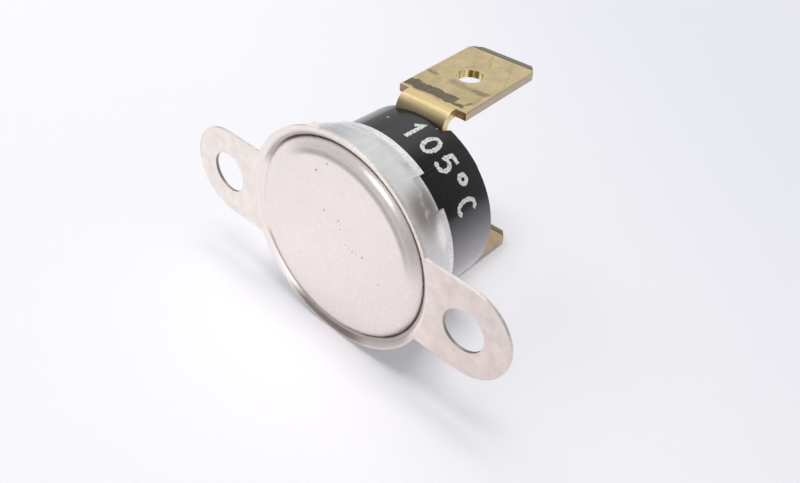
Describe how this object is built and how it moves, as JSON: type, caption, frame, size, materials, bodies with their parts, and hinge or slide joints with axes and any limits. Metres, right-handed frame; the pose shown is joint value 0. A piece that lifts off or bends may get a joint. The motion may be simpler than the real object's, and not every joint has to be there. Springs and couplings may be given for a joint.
{
  "type": "bimetal thermostat",
  "caption": "Round snap-disc bimetal temperature switch with a flat sensing cap, a drawn bracket with ears for screws, a black moulded case and bent brass push-on tabs.",
  "frame": {"origin": "centre of the bracket's front plane, midway between the two mounting holes", "axes": "+Y along the switch's axis from the sensing face to the terminals, X through the mounting holes, +Z towards the upper terminal; as it lies in the picture, on the rim and the lower tab"},
  "size_m": [0.0312, 0.0195, 0.0178],
  "materials": {
    "bracket_steel": "plated sheet, dull beige on the flat faces and bright on the sheared edges",
    "cap_aluminium": "matte drawn sheet with a few small pits",
    "bimetal": "rolled strip",
    "guide_moulding": "brown phenolic moulding",
    "pin_ceramic": "fired, unglazed",
    "case_moulding": "glossy black phenolic moulding",
    "spring_bronze": "rolled spring strip",
    "contact_silver": "headed silver",
    "bar_brass": "stamped strip",
    "rivet_brass": "headed, tinned dull",
    "terminal_brass": "stamped strip, dulled and smeared on the flat faces, bright at the bend"
  },
  "bodies": {
    "body": {"bracket": "bracket_steel", "cap": "cap_aluminium", "bimetal_disc": "bimetal", "pin_guide": "guide_moulding", "case": "case_moulding", "fixed_bar": "bar_brass", "fixed_contact": "contact_silver", "upper_rivet": "rivet_brass", "lower_rivet": "rivet_brass", "upper_terminal": "terminal_brass", "lower_terminal": "terminal_brass"},
    "pin": {"transfer_pin": "pin_ceramic"},
    "arm": {"contact_arm": "spring_bronze", "moving_contact": "contact_silver"}
  },
  "joints": [
    {"name": "pin_slide", "type": "slide", "parent": "body", "child": "pin", "axis": [0, 1, 0], "range_m": [0, 0.00025], "stiffness_N_per_m": 800, "deforming": ["bimetal_disc"]},
    {"name": "arm_swing", "type": "hinge", "parent": "body", "child": "arm", "pos_m": [-0.00009, 0.00462, 0.00219], "axis": [0.9992, 0, 0.0401], "range_deg": [0, 6.6], "deforming": ["contact_arm"]}
  ],
  "couplings": [
    {"joint": "arm_swing", "follows": "pin_slide", "rad_per_m": 455.6}
  ]
}
